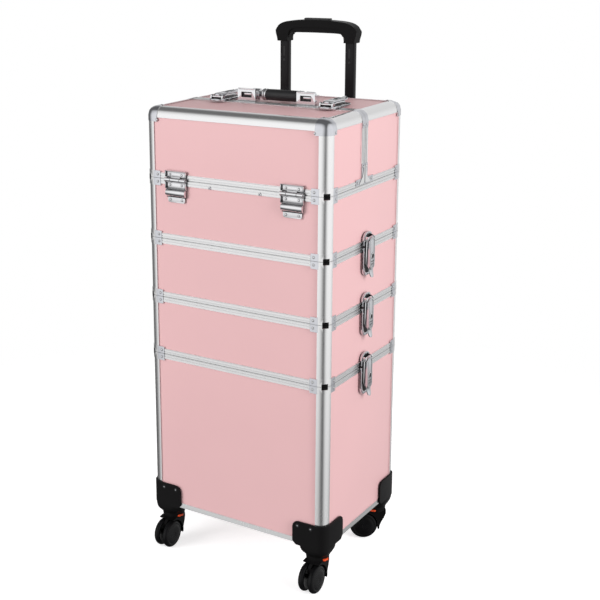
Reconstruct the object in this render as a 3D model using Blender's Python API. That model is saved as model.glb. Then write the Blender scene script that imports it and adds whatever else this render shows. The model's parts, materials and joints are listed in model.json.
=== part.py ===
"""Makeup train case on casters: four stacked latched boxes, split lid, telescopic rear handle.
Frame: +Z up, front faces -Y, z = 0 on the floor, x = 0 on the centre plane. Lengths in metres."""
import bpy
import bmesh
from math import pi, sin, cos, radians
from mathutils import Matrix, Vector

MM = 0.001
# ---- driving dimensions (mm) -------------------------------------------------------------
HALF_W = 170.0            # half width of the case body
DEPTH = 258.9             # body depth
MID_Y = -3.2              # centre plane of the body in depth
BASE_Z = 82.0             # underside of the body above the floor
BOTTOM_H, TIER_H, TOP_BASE_H, LID_H = 280.2, 101.8, 101.6, 116.9
EDGE_R = 15.0             # outer radius of the corner profiles
SKIN = 1.4                # wall of the aluminium profiles
GAP = 0.3                 # assembly gap between neighbours
FLANGE = 17.3             # visible flange of corner profiles
RIM = 9.0                 # height of the seam rim profiles
PANEL_T = 4.5             # board with lining
SLOT_IN = SKIN + 2 * GAP + PANEL_T + 0.1
RIM_IN = 8.0              # total depth of the rim channel
SPLIT_Y = MID_Y - 10.5    # parting plane of the two lid halves
STRIP = 10.2              # flange beside the parting plane
PLATE = 0.8               # raised seam corner plates
HINGE_X, HINGE_W = 109.0, 41.0
LATCH_W = 30.0
WHEEL_R, WHEEL_W, WHEEL_HALF = 24.5, 11.2, 15.0
TRAIL = 20.0
CASTER_X, CASTER_Y = 145.5, 105.5
ROD_X, ROD_Y = 63.5, 144.5
GRIP_TOP = 912.5
HANDLE_X = 56.0
TOP_SHIFT = 5.0           # the carry handle sits this far right of centre
TOP_LATCH_X, LATCH_SHIFT = 103.0, 6.0

FRONT, BACK = MID_Y - DEPTH / 2, MID_Y + DEPTH / 2
S4 = BASE_Z + BOTTOM_H
S3 = S4 + TIER_H
S2 = S3 + TIER_H
S1 = S2 + TOP_BASE_H
TOP = S1 + LID_H

for old in list(bpy.data.objects):
    bpy.data.objects.remove(old, do_unlink=True)

scene = bpy.context.scene


def collection(name):
    col = bpy.data.collections.new(name)
    scene.collection.children.link(col)
    return col


PARTS = collection("makeup_train_case")
TOOLS = collection("cutters")


def material(name, color, metallic, roughness):
    mat = bpy.data.materials.new(name)
    mat.use_nodes = True
    bsdf = mat.node_tree.nodes["Principled BSDF"]
    bsdf.inputs["Base Color"].default_value = (*color, 1.0)
    bsdf.inputs["Metallic"].default_value = metallic
    bsdf.inputs["Roughness"].default_value = roughness
    return mat


LOOKS = {
    "panel": ((0.82, 0.53, 0.54), 0.0, 0.45),
    "alu": ((0.80, 0.80, 0.81), 1.0, 0.32),
    "chrome": ((0.86, 0.86, 0.88), 1.0, 0.10),
    "black": ((0.018, 0.018, 0.020), 0.0, 0.42),
    "rubber": ((0.022, 0.022, 0.024), 0.0, 0.60),
    "tray": ((0.03, 0.03, 0.032), 0.0, 0.65),
    "steel": ((0.04, 0.04, 0.045), 0.8, 0.35),
}


def from_bmesh(bm, name, col):
    bmesh.ops.recalc_face_normals(bm, faces=bm.faces)
    mesh = bpy.data.meshes.new(name)
    bm.to_mesh(mesh)
    bm.free()
    obj = bpy.data.objects.new(name, mesh)
    col.objects.link(obj)
    if col is TOOLS:
        obj.hide_render = True
        obj.display_type = "WIRE"
    return obj


def part(obj, name, look):
    """Move a shape into the parts collection under its node name, with its own material."""
    if obj.name in TOOLS.objects:
        TOOLS.objects.unlink(obj)
        PARTS.objects.link(obj)
    obj.name = name
    obj.data.name = name
    obj.hide_render = False
    obj.display_type = "TEXTURED"
    obj.data.materials.clear()
    obj.data.materials.append(material(name + "_mat", *LOOKS[look]))
    return obj


def pivot(obj, x, y, z):
    """Put the origin of an object on its joint axis without moving the shape."""
    shift = Vector((x * MM, y * MM, z * MM)) - obj.location
    obj.data.transform(Matrix.Translation(-shift))
    obj.location = obj.location + shift
    return obj


def box(lo, hi, r=0.0, pick=None, seg=3, name="tool"):
    """Box between two corners (mm); edges whose midpoint passes pick() are rounded by r."""
    bm = bmesh.new()
    bmesh.ops.create_cube(bm, size=1.0)
    size = [(b - a) * MM for a, b in zip(lo, hi)]
    mid = [(a + b) / 2 * MM for a, b in zip(lo, hi)]
    for v in bm.verts:
        v.co = Vector([v.co[i] * size[i] + mid[i] for i in range(3)])
    if r > 0:
        def unit(e):
            c = (e.verts[0].co + e.verts[1].co) / 2
            return [0 if abs(c[i] - mid[i]) < 1e-7 else (1 if c[i] > mid[i] else -1) for i in range(3)]
        edges = [e for e in bm.edges if pick is None or pick(unit(e))]
        bmesh.ops.bevel(bm, geom=edges, offset=r * MM, segments=seg, profile=0.5, affect="EDGES")
    return from_bmesh(bm, name, TOOLS)


def upright(u):
    return u[2] == 0


def cylinder(p, axis, r, length, seg=24, r2=None, name="tool"):
    """Cylinder or cone centred on p (mm) along a world direction."""
    bm = bmesh.new()
    bmesh.ops.create_cone(bm, cap_ends=True, segments=seg, radius1=r * MM,
                          radius2=(r if r2 is None else r2) * MM, depth=length * MM)
    turn = Vector((0, 0, 1)).rotation_difference(Vector(axis).normalized()).to_matrix().to_4x4()
    bm.transform(Matrix.Translation(Vector(p) * MM) @ turn)
    return from_bmesh(bm, name, TOOLS)


def prism(points, axis, a, b, r=0.0, seg=2, name="tool"):
    """Extrude a closed outline (mm). axis 0: points are (y, z); 1: (x, z); 2: (x, y)."""
    bm = bmesh.new()

    def place(p, t):
        if axis == 0:
            return Vector((t, p[0], p[1])) * MM
        if axis == 1:
            return Vector((p[0], t, p[1])) * MM
        return Vector((p[0], p[1], t)) * MM
    low = [bm.verts.new(place(p, a)) for p in points]
    high = [bm.verts.new(place(p, b)) for p in points]
    n = len(points)
    caps = [bm.faces.new(low), bm.faces.new(list(reversed(high)))]
    for i in range(n):
        bm.faces.new((low[i], high[i], high[(i + 1) % n], low[(i + 1) % n]))
    if r > 0:
        rim = {e for f in caps for e in f.edges}
        bmesh.ops.bevel(bm, geom=list(rim), offset=r * MM, segments=seg, profile=0.5, affect="EDGES")
    return from_bmesh(bm, name, TOOLS)


def fan(cx, cz, r, a0, a1, n):
    """Points on an arc, degrees."""
    return [(cx + r * cos(radians(a0 + (a1 - a0) * i / n)),
             cz + r * sin(radians(a0 + (a1 - a0) * i / n))) for i in range(n + 1)]


def slab(x0, x1, z0, z1, r, n=4):
    """Rounded rectangle outline."""
    return (fan(x1 - r, z1 - r, r, 0, 90, n) + fan(x0 + r, z1 - r, r, 90, 180, n)
            + fan(x0 + r, z0 + r, r, 180, 270, n) + fan(x1 - r, z0 + r, r, 270, 360, n))


def boolean(obj, other, op):
    mod = obj.modifiers.new(op.lower(), "BOOLEAN")
    mod.operation = op
    mod.object = other
    mod.solver = "EXACT"
    return obj


def cut(obj, *others):
    for other in others:
        boolean(obj, other, "DIFFERENCE")
    return obj


def add(obj, *others):
    for other in others:
        boolean(obj, other, "UNION")
    return obj


def body_box(inset, z0, z1, r=None, pick=upright, y0=None, y1=None, seg=3):
    """Box following the body outline, inset from its faces."""
    y0 = FRONT + inset if y0 is None else y0
    y1 = BACK - inset if y1 is None else y1
    r = max(EDGE_R - inset, 0.6) if r is None else r
    return box((-HALF_W + inset, y0, z0), (HALF_W - inset, y1, z1), r, pick, seg)


# ---- stacked boxes -----------------------------------------------------------------------
def notch_cutters(z, height=5.0, reach=8.5):
    out = []
    for sx in (-1, 1):
        for y in (FRONT, BACK):
            inner = y + (reach if y == FRONT else -reach)
            outer = y - (3 if y == FRONT else -3)
            lo = (min(sx * (HALF_W - reach), sx * (HALF_W + 3)), min(inner, outer), z - height)
            hi = (max(sx * (HALF_W - reach), sx * (HALF_W + 3)), max(inner, outer), z + height)
            out.append(box(lo, hi))
    return out


def corner_plates(z0, z1, reach=29.0):
    """Thin plates wrapped round the four upright corners between two heights."""
    ring = box((-HALF_W - PLATE, FRONT - PLATE, z0), (HALF_W + PLATE, BACK + PLATE, z1),
               EDGE_R + PLATE, upright)
    cut(ring, body_box(0.3, z0 - 5, z1 + 5),
        box((-HALF_W + reach, FRONT - 9, z0 - 5), (HALF_W - reach, BACK + 9, z1 + 5)),
        box((-HALF_W - 9, FRONT + reach, z0 - 5), (HALF_W + 9, BACK - reach, z1 + 5)))
    return ring


def tier_frame(name, z0, z1, floor_case=False):
    if floor_case:
        outer = body_box(0, z0, z1 - GAP, EDGE_R, lambda u: u[2] == 0)
        base = SKIN
        opening = FLANGE
    else:
        outer = body_box(0, z0 + GAP, z1 - GAP, EDGE_R)
        base = GAP + 1.6
        opening = RIM_IN
    top = z1 - GAP
    slot = body_box(SKIN, top - RIM - 0.5, top - 1.6)
    cut(slot, body_box(SLOT_IN, top - RIM - 3, top + 3))
    cut(outer,
        body_box(SKIN, z0 + base, top - RIM), slot,
        body_box(RIM_IN, top - RIM - 4, top + 5),
        box((-HALF_W + opening, FRONT + opening, z0 - 5),
            (HALF_W - opening, BACK - opening, z0 + base + 2)),
        box((-HALF_W + FLANGE, FRONT - 9, z0 + RIM), (HALF_W - FLANGE, BACK + 9, top - RIM)),
        box((-HALF_W - 9, FRONT + FLANGE, z0 + RIM), (HALF_W + 9, BACK - FLANGE, top - RIM)))
    add(outer, corner_plates(top - 12.0, top))
    if not floor_case:
        add(outer, corner_plates(z0 + GAP, z0 + 12.0))
    cut(outer, *notch_cutters(z1))
    if not floor_case:
        cut(outer, *notch_cutters(z0))
    return part(outer, name, "alu")


def tier_panels(name, z0, z1, floor_case=False):
    low = z0 + (SKIN + GAP if floor_case else GAP + 1.6 + GAP)
    walls = body_box(SKIN + GAP, low, z1 - GAP - 1.6 - GAP)
    cut(walls, body_box(SKIN + GAP + PANEL_T, low + PANEL_T, z1 + 5))
    return part(walls, name, "panel")


tier_panels("bottom_case_panels", BASE_Z, S4, True)
tier_panels("lower_tier_panels", S4, S3)
tier_panels("upper_tier_panels", S3, S2)
tier_panels("top_case_panels", S2, S1)
bottom_frame = tier_frame("bottom_case_frame", BASE_Z, S4, True)
lower_frame = tier_frame("lower_tier_frame", S4, S3)
upper_frame = tier_frame("upper_tier_frame", S3, S2)
top_frame = tier_frame("top_case_frame", S2, S1)


# ---- split lid ---------------------------------------------------------------------------
def lid_pick(front):
    side = -1 if front else 1
    return lambda u: (u[2] == 0 and u[1] == side) or (u[2] == 1 and (u[1] == side or u[1] == 0))


def lid_box(front, inset, z0, z1, edge, r):
    """Box following one lid half; edge is its parting-side y."""
    wall = FRONT + inset if front else BACK - inset
    lo = (-HALF_W + inset, min(wall, edge), z0)
    hi = (HALF_W - inset, max(wall, edge), z1)
    return box(lo, hi, r, lid_pick(front), 3)


def lid_half(front):
    name = "lid_front" if front else "lid_rear"
    s = 1 if front else -1
    edge = SPLIT_Y - s * GAP
    z0 = S1 + GAP
    outer = lid_box(front, 0, z0, TOP, edge, EDGE_R)
    wall = FRONT if front else BACK
    far = wall - s * 9
    lip = edge - s * 1.6

    def span(a, b):
        return min(a, b), max(a, b)
    ya, yb = span(wall + s * FLANGE, edge - s * STRIP)
    yo = span(wall + s * RIM_IN, edge + s * 9)
    wx = HALF_W - FLANGE
    cut(outer,
        lid_box(front, SKIN, z0 + 1.6, TOP - SKIN, lip, EDGE_R - SKIN),
        box((-HALF_W + RIM_IN, min(yo), z0 - 5), (HALF_W - RIM_IN, max(yo), TOP - RIM_IN)),
        box((-wx, min(far, wall + s * 5), z0 + RIM), (wx, max(far, wall + s * 5), TOP - FLANGE)),
        box((-HALF_W - 9, ya, z0 + RIM), (HALF_W + 9, yb, TOP - FLANGE)),
        box((-wx, ya, TOP - 5), (wx, yb, TOP + 9)))
    ra, rb = span(wall - s * PLATE, edge)
    raised = box((-HALF_W - PLATE, ra, z0), (HALF_W + PLATE, rb, TOP + PLATE),
                 EDGE_R + PLATE, lid_pick(front), 3)
    cut(raised, lid_box(front, 0.3, z0 - 9, TOP - 0.3, edge + s * 9, EDGE_R - 0.3))
    keep = []
    for sx in (-1, 1):
        def zone(x0, x1, y0, y1, a, b):
            xs, ys = sorted((sx * x0, sx * x1)), sorted((y0, y1))
            return box((xs[0], ys[0], a), (xs[1], ys[1], b))
        keep.append(zone(HALF_W - 29, HALF_W + 9, wall - s * 9, wall + s * 29, z0 - 1, z0 + 11.7))
        keep.append(zone(HALF_W - 24, HALF_W + 9, wall - s * 9, wall + s * 24, TOP - 24, TOP + 9))
        keep.append(zone(HALF_W - 6, HALF_W + 9, edge, edge - s * 29, z0 + 1, z0 + 11.0))
        keep.append(zone(HALF_W - 6, HALF_W + 9, edge, edge - s * 9.4, z0 + 1.0, z0 + 34))
        keep.append(zone(HALF_W - 18, HALF_W + 9, edge, edge - s * 9.4, TOP - 26, TOP + 9))
    zones = keep[0]
    add(zones, *keep[1:])
    boolean(raised, zones, "INTERSECT")
    add(outer, raised)
    cut(outer, *[c for c in notch_cutters(S1)])
    part(outer, name + "_frame", "alu")
    board = lid_box(front, SKIN + GAP, z0 + 1.6 + GAP, TOP - SKIN - GAP, lip - s * GAP, EDGE_R - SKIN - GAP)
    t = SKIN + GAP + PANEL_T
    cut(board, lid_box(front, t, z0 - 5, TOP - t, edge + s * 9, EDGE_R - t))
    part(board, name + "_panels", "panel")
    return outer, board


lid_front, lid_front_board = lid_half(True)
lid_rear, lid_rear_board = lid_half(False)
HINGE_Y = FRONT - 4.2
REAR_HINGE_Y = BACK + 4.2
for obj in (lid_front, lid_front_board):
    pivot(obj, 0, HINGE_Y, S1)
for obj in (lid_rear, lid_rear_board):
    pivot(obj, 0, REAR_HINGE_Y, S1)


# ---- box hinges on the front and back rims -----------------------------------------------
def hinge_leaf(x, side, upper):
    """Leaf with its knuckles; side -1 front, +1 back."""
    face = FRONT if side < 0 else BACK
    y_in, y_out = face + side * (GAP + PLATE * 0), face + side * (GAP + 1.7)
    ay = face + side * 4.2
    half = HINGE_W / 2

    def ybox(x0, x1, ya, yb, z0, z1):
        return box((x0, min(ya, yb), z0), (x1, max(ya, yb), z1))
    if upper:
        leaf = ybox(x - half, x + half, y_in, y_out, S1 + 3.9, S1 + 15.0)
        add(leaf, ybox(x - half, x - half + 1.6, y_in, face + side * 3.6, S1 + 4.5, S1 + 15.0),
            ybox(x + half - 1.6, x + half, y_in, face + side * 3.6, S1 + 4.5, S1 + 15.0),
            cylinder((x, ay, S1), (1, 0, 0), 3.4, 18.0, 12),
            ybox(x - 9.0, x + 9.0, y_in, ay, S1 + 1.2, S1 + 5.0))
        return leaf
    leaf = ybox(x - half, x + half, y_in, y_out, S1 - 28.0, S1 - 3.9)
    flap = prism([(face + side * 1.0, S1 - 13.5)] + [
        (face + side * (1.0 + 6.2 * sin(radians(t))), S1 - 13.5 - 14.5 * (t / 180.0))
        for t in (30, 60, 90, 120, 150)]
        + [(face + side * 1.0, S1 - 28.0)], 0, x - half + 1.5, x + half - 1.5)
    add(leaf, flap, ybox(x - half + 4, x + half - 4, y_in, y_out, S1 - 38.0, S1 - 27.0),
        cylinder((x - 14.9, ay, S1), (1, 0, 0), 3.4, 11.2, 12),
        cylinder((x + 14.9, ay, S1), (1, 0, 0), 3.4, 11.2, 12),
        ybox(x - half, x - 9.3, y_in, ay, S1 - 5.0, S1 - 1.2),
        ybox(x + 9.3, x + half, y_in, ay, S1 - 5.0, S1 - 1.2))
    return leaf


for sx, tag in ((-1, "left"), (1, "right")):
    low = part(hinge_leaf(sx * HINGE_X, -1, False), "front_hinge_base_" + tag, "chrome")
    up = part(hinge_leaf(sx * HINGE_X, -1, True), "front_hinge_leaf_" + tag, "chrome")
    pivot(up, 0, HINGE_Y, S1)


# ---- latches -----------------------------------------------------------------------------
def latch_outline(z0, z1, half, r_top, r_low, n=3):
    """Plate outline with separately rounded upper and lower ends, about y = 0."""
    return (fan(half - r_top, z1 - r_top, r_top, 0, 90, n)
            + fan(-half + r_top, z1 - r_top, r_top, 90, 180, n)
            + fan(-half + r_low, z0 + r_low, r_low, 180, 270, n)
            + fan(half - r_low, z0 + r_low, r_low, 270, 360, n))


def side_map(sx, seam):
    """Local latch frame (u across, v up from the seam, w out) to the side of the case."""
    rot = Matrix(((0, 0, sx), (1, 0, 0), (0, 1, 0)))
    return Matrix.Translation(Vector((sx * HALF_W, MID_Y, seam)) * MM) @ rot.to_4x4()


def top_map(x):
    """The same frame laid on the lid: up points forward, out points up."""
    rot = Matrix(((1, 0, 0), (0, -1, 0), (0, 0, 1)))
    return Matrix.Translation(Vector((x, SPLIT_Y, TOP)) * MM) @ rot.to_4x4()


def placed(obj, mat):
    obj.data.transform(mat)
    if mat.determinant() < 0:
        obj.data.flip_normals()
    return obj


PIV_V, PIV_W = 13.0, 7.2


def latch(tag, mat, carrier):
    """Keyed latch: hinge plate and lever as nodes, strike plate fused to the frame below the seam."""
    half = LATCH_W / 2
    w0 = GAP + PLATE
    plate = prism(latch_outline(-49.0, -0.8, half, 3.0, 12.0), 2, w0, w0 + 2.2)
    add(plate, box((-13.0, -8.4, -0.6), (13.0, -1.4, w0 + 1.0)))
    keeper = prism(latch_outline(0.9, 23.0, half, 12.0, 3.0), 2, w0, w0 + 2.2)
    ears = [prism([(PIV_V - 5, w0 + 1), (PIV_V + 5, w0 + 1)] + fan(PIV_V, PIV_W, 3.6, 0, 180, 4), 0,
                  u0, u1) for u0, u1 in ((-12.2, -9.6), (9.6, 12.2))]
    add(keeper, *ears)
    lever = prism(latch_outline(-40.0, 15.2, 8.6, 6.0, 5.0), 2, w0 + 5.6, w0 + 11.2, 1.2, 1)
    tongue = prism([(-34.0, w0 + 6.4), (-50.0, w0 + 7.4), (-59.0, w0 + 10.2), (-59.6, w0 + 12.6),
                    (-49.0, w0 + 10.4), (-34.0, w0 + 10.4)], 0, -6.0, 6.0)
    barrel = cylinder((0, PIV_V, PIV_W), (1, 0, 0), 2.6, 18.4, 10)
    add(lever, tongue, barrel)
    cut(lever, cylinder((0, -17.0, w0 + 11.0), (0, 0, 1), 2.6, 3.0, 10),
        box((-0.9, -24.5, w0 + 9.5), (0.9, -17.0, w0 + 14.0)))
    ops = [plate, keeper, lever]
    for obj in [m.object for o in ops for m in o.modifiers] + ops:
        placed(obj, mat)
    add(carrier, plate)
    part(keeper, "latch_hinge_" + tag, "chrome")
    part(lever, "latch_lever_" + tag, "chrome")
    at = mat @ (Vector((0, PIV_V, PIV_W)) * MM)
    pivot(lever, at.x / MM, at.y / MM, at.z / MM)
    return plate, keeper, lever


for sx, side in ((-1, "left"), (1, "right")):
    for seam, level, under in ((S4, "low", bottom_frame), (S3, "mid", lower_frame),
                               (S2, "high", upper_frame)):
        latch(side + "_" + level, side_map(sx, seam), under)
    latch("top_" + side, top_map(LATCH_SHIFT + sx * TOP_LATCH_X), lid_rear)


# ---- carry handle ------------------------------------------------------------------------
HANDLE_Y, HANDLE_Z = MID_Y + 2.0, TOP + 9.0
GRIP_Y, GRIP_Z = MID_Y + 19.5, TOP + 10.4
for sx, tag in ((-1, "left"), (1, "right")):
    x = TOP_SHIFT + sx * HANDLE_X
    y0 = SPLIT_Y + GAP + 4.0
    block = box((x - 17, y0, TOP + GAP), (x + 17, y0 + 15, TOP + 22), 1.6,
                lambda u: u[0] == 0 and u[2] == 1, 2)
    cut(block, box((x - 10.0, y0 - 5, TOP + 7), (x + 10.0, y0 + 9, TOP + 16)),
        box((x - 12.5, y0 + 3.0, TOP + 3.6), (x + 12.5, y0 + 40, TOP + 40)),
        box((x - 20, y0 + 3.5, TOP + 17), (x + 20, y0 + 40, TOP + 40)))
    part(block, "carry_handle_buckle_" + tag, "chrome")

GRIP_HALF = 34.0
grip = cylinder((TOP_SHIFT, GRIP_Y, GRIP_Z), (1, 0, 0), 9.4, 2 * GRIP_HALF, 20)
for sx in (-1, 1):
    ferrule = cylinder((TOP_SHIFT + sx * GRIP_HALF, GRIP_Y, GRIP_Z), (1, 0, 0), 9.9, 8.6, 20)
    neck = cylinder((TOP_SHIFT + sx * (GRIP_HALF + 7.5), GRIP_Y, GRIP_Z), (1, 0, 0), 4.0, 9.0, 12)
    hook = [(HANDLE_Y + a, HANDLE_Z + b) for a, b in (
        (-3.0, -4.0), (-4.0, 0.0), (-3.0, 3.2), (8.0, 3.4), (11.5, 6.4), (15.0, 10.2), (20.0, 10.6),
        (25.0, 7.0), (26.4, 1.0), (24.0, -5.0), (18.0, -7.0), (10.0, -4.9), (4.0, -4.2))]
    x_arm = sorted((TOP_SHIFT + sx * (GRIP_HALF + 10), TOP_SHIFT + sx * (GRIP_HALF + 24)))
    arm = prism(hook, 0, *x_arm, 1.0, 2)
    pin = cylinder((TOP_SHIFT + sx * HANDLE_X, HANDLE_Y, HANDLE_Z), (1, 0, 0), 2.0, 24.2, 12)
    add(grip, ferrule, neck, arm, pin)
part(grip, "carry_handle_grip", "black")
pivot(grip, 0, HANDLE_Y, HANDLE_Z)


# ---- telescopic rear handle --------------------------------------------------------------
TUBE_LOW, TUBE_TOP = BASE_Z + 10, S4 - 6
ROD_LOW = 200.0
SLEEVE_Z = GRIP_TOP - 40.0


def tube_box(x, hx, hy, z0, z1, r=3.0):
    return box((x - hx, ROD_Y + MID_Y - hy, z0), (x + hx, ROD_Y + MID_Y + hy, z1), r, upright, 3)


for sx, tag in ((-1, "left"), (1, "right")):
    x = sx * ROD_X
    outer = tube_box(x, 10.8, 7.6, TUBE_LOW, TUBE_TOP, 4.0)
    cut(outer, tube_box(x, 9.2, 6.0, TUBE_LOW + 3, TUBE_TOP + 9, 3.2))
    part(outer, "trolley_outer_tube_" + tag, "steel")
    rod = tube_box(x, 8.8, 5.6, ROD_LOW, SLEEVE_Z + 22, 3.0)
    cut(rod, tube_box(x, 7.4, 4.2, ROD_LOW - 9, SLEEVE_Z + 16, 2.0))
    part(rod, "trolley_inner_tube_" + tag, "steel")
    pivot(rod, x, ROD_Y + MID_Y, SLEEVE_Z)

for tag, z0, z1 in (("lower", BASE_Z + 6, BASE_Z + 36), ("upper", S4 - 46, S4 - 14)):
    mount = box((-86, BACK + GAP, z0), (86, ROD_Y + MID_Y + 12, z1), 5.0, lambda u: u[1] == 1, 3)
    for x in (-ROD_X, ROD_X):
        hole = tube_box(x, 10.8 + GAP, 7.6 + GAP, TUBE_LOW - GAP, z1 + 9, 4.3)
        cut(mount, hole)
    cut(mount, box((-44, BACK + 12, z0 - 5), (44, ROD_Y + MID_Y + 20, z1 + 5)))
    part(mount, "trolley_mount_" + tag, "black")

GY = ROD_Y + MID_Y


def grip_outline():
    """Half outline of the bow grip from the top centre outward, mirrored."""
    t = GRIP_TOP
    right = [(0, t - 3.0), (25, t - 3.3), (45, t - 4.4), (58, t - 6.0), (67, t - 8.5), (74, t - 13),
             (78.5, t - 20), (78, t - 27), (75.5, t - 34), (74.5, SLEEVE_Z), (54.5, SLEEVE_Z),
             (54.5, t - 33), (51.5, t - 27.5), (44, t - 24.8), (0, t - 24.0)]
    left = [(-x, z) for x, z in reversed(right[1:-1])]
    return right + left


bow = prism(grip_outline(), 1, GY - 10.5, GY + 10.5, 3.0, 3)
for x in (-ROD_X, ROD_X):
    cut(bow, tube_box(x, 8.8 + GAP, 5.6 + GAP, SLEEVE_Z - 9, SLEEVE_Z + 22 + GAP, 3.2))
pocket = prism(slab(-25.4, 25.4, GY - 5.9, GY + 5.9, 3.0, 3), 2, GRIP_TOP - 10, GRIP_TOP + 4)
cut(bow, pocket)
part(bow, "trolley_grip", "black")
pivot(bow, 0, GY, SLEEVE_Z)
button = prism(slab(-25.0, 25.0, GY - 5.5, GY + 5.5, 2.8, 3), 2, GRIP_TOP - 6.2, GRIP_TOP, 0.9, 2)
part(button, "trolley_release_button", "rubber")
pivot(button, 0, GY, GRIP_TOP - 6.2)


# ---- caster corners ----------------------------------------------------------------------
BRK_T = 2.6
LEG_X, LEG_Y, LEG_H, LEG_R = 58.0, 60.0, 40.0, 10.0
HOUSING_LOW = BASE_Z - 20.0
COLLAR_LOW = BASE_Z - 30.0


def loft(rings):
    """Closed skin over rings of points (mm) that all have the same count."""
    bm = bmesh.new()
    rows = [[bm.verts.new(Vector(p) * MM) for p in ring] for ring in rings]
    n = len(rows[0])
    for a, b in zip(rows[:-1], rows[1:]):
        for i in range(n):
            bm.faces.new((a[i], a[(i + 1) % n], b[(i + 1) % n], b[i]))
    bm.faces.new(rows[0])
    bm.faces.new(rows[-1])
    return from_bmesh(bm, "tool", TOOLS)


def skirt_ring(z, share, cx, cy, hx, hy, ax, ay, r, n=28):
    """Ring between a soft square (share 0) about (cx, cy) and a circle (share 1) about (ax, ay)."""
    out = []
    for i in range(n):
        a = 2 * pi * i / n
        c, s = cos(a), sin(a)
        k = (abs(c) ** 4 + abs(s) ** 4) ** (-1 / 4)
        out.append(((cx + hx * k * c) * (1 - share) + (ax + r * c) * share,
                    (cy + hy * k * s) * (1 - share) + (ay + r * s) * share, z))
    return out


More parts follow.
